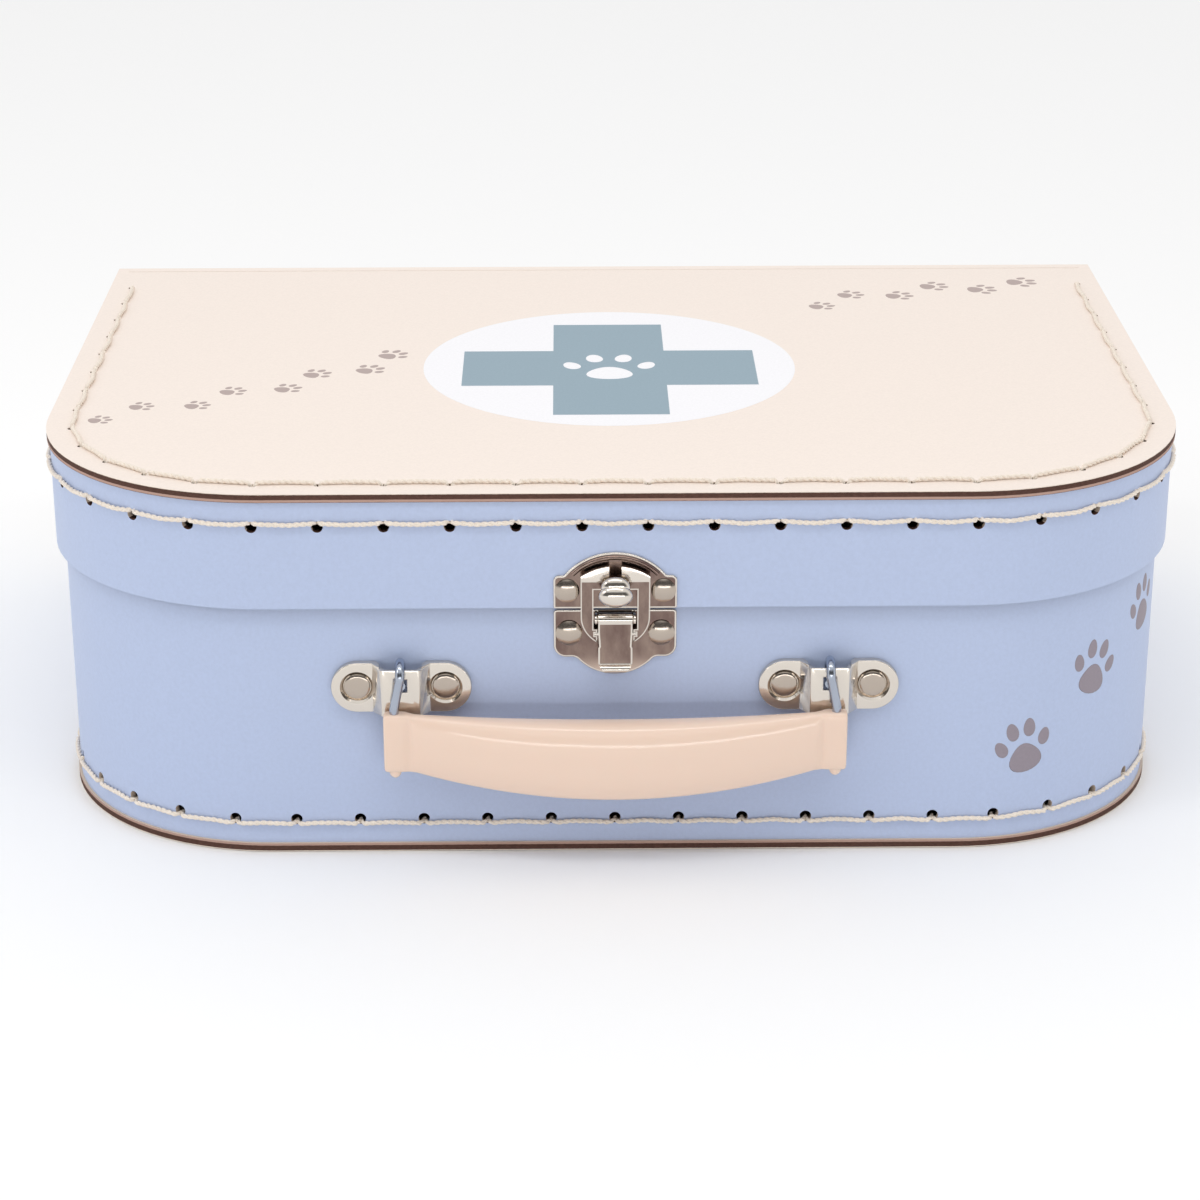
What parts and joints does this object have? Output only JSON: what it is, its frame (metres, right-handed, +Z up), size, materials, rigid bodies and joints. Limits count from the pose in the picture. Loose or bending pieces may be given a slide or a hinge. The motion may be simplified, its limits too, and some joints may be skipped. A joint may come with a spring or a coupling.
{
  "type": "toy doctor case",
  "caption": "Child's stitched paperboard play case with rounded front corners, fold-back lid, metal toggle latch and swinging moulded handle.",
  "frame": {"origin": "centre of the underside, on the surface that the case stands on", "axes": "+X to the right seen from the latch side, +Y from the latch to the hinge, +Z up"},
  "size_m": [0.251, 0.1833, 0.0845],
  "materials": {
    "lid_board": "printed cream paper on grey board, matt film",
    "band_board": "printed blue paper, matt leather-grain",
    "thread": "twisted waxed cotton",
    "crease_cloth": "thin woven binding cloth",
    "nickel": "bright nickel plate on stamped steel",
    "steel_wire": "bright drawn wire",
    "handle_plastic": "gloss moulded"
  },
  "bodies": {
    "base": {"bottom_and_back_panel": "lid_board", "base_band": "band_board", "base_band_thread": "thread", "bottom_thread": "thread", "tab_rivets": "nickel", "crease_strip_back": "crease_cloth", "handle_bracket_left": "nickel", "handle_bracket_right": "nickel", "bracket_rivets": "nickel", "bracket_washers": "nickel", "latch_base_plate": "nickel", "latch_base_rivets": "nickel", "latch_hinge_pin": "nickel"},
    "lid": {"lid_panel": "lid_board", "lid_band": "band_board", "lid_band_thread": "thread", "lid_panel_thread": "thread", "crease_strip_lid": "crease_cloth", "latch_lid_plate": "nickel", "latch_lid_rivets": "nickel"},
    "handle": {"handle_wire_left": "steel_wire", "handle_wire_right": "steel_wire", "handle_grip": "handle_plastic"},
    "lever": {"latch_lever": "nickel"},
    "loop": {"latch_loop": "nickel"}
  },
  "joints": [
    {"name": "lid_hinge", "type": "hinge", "parent": "base", "child": "lid", "pos_m": [0, 0.085, 0.0834], "axis": [-1, 0, 0], "range_deg": [0, 180]},
    {"name": "handle_swing", "type": "hinge", "parent": "base", "child": "handle", "pos_m": [0, -0.0864, 0.0432], "axis": [-1, 0, 0], "range_deg": [0, 90]},
    {"name": "latch_lever", "type": "hinge", "parent": "base", "child": "lever", "pos_m": [0, -0.0849, 0.055], "axis": [-1, 0, 0], "range_deg": [0, 110]},
    {"name": "latch_loop", "type": "hinge", "parent": "lever", "child": "loop", "pos_m": [0, -0.0849, 0.0518], "axis": [-1, 0, 0], "range_deg": [-99, 0]}
  ],
  "couplings": [
    {"joint": "latch_loop", "follows": "latch_lever", "ratio": -0.9}
  ]
}
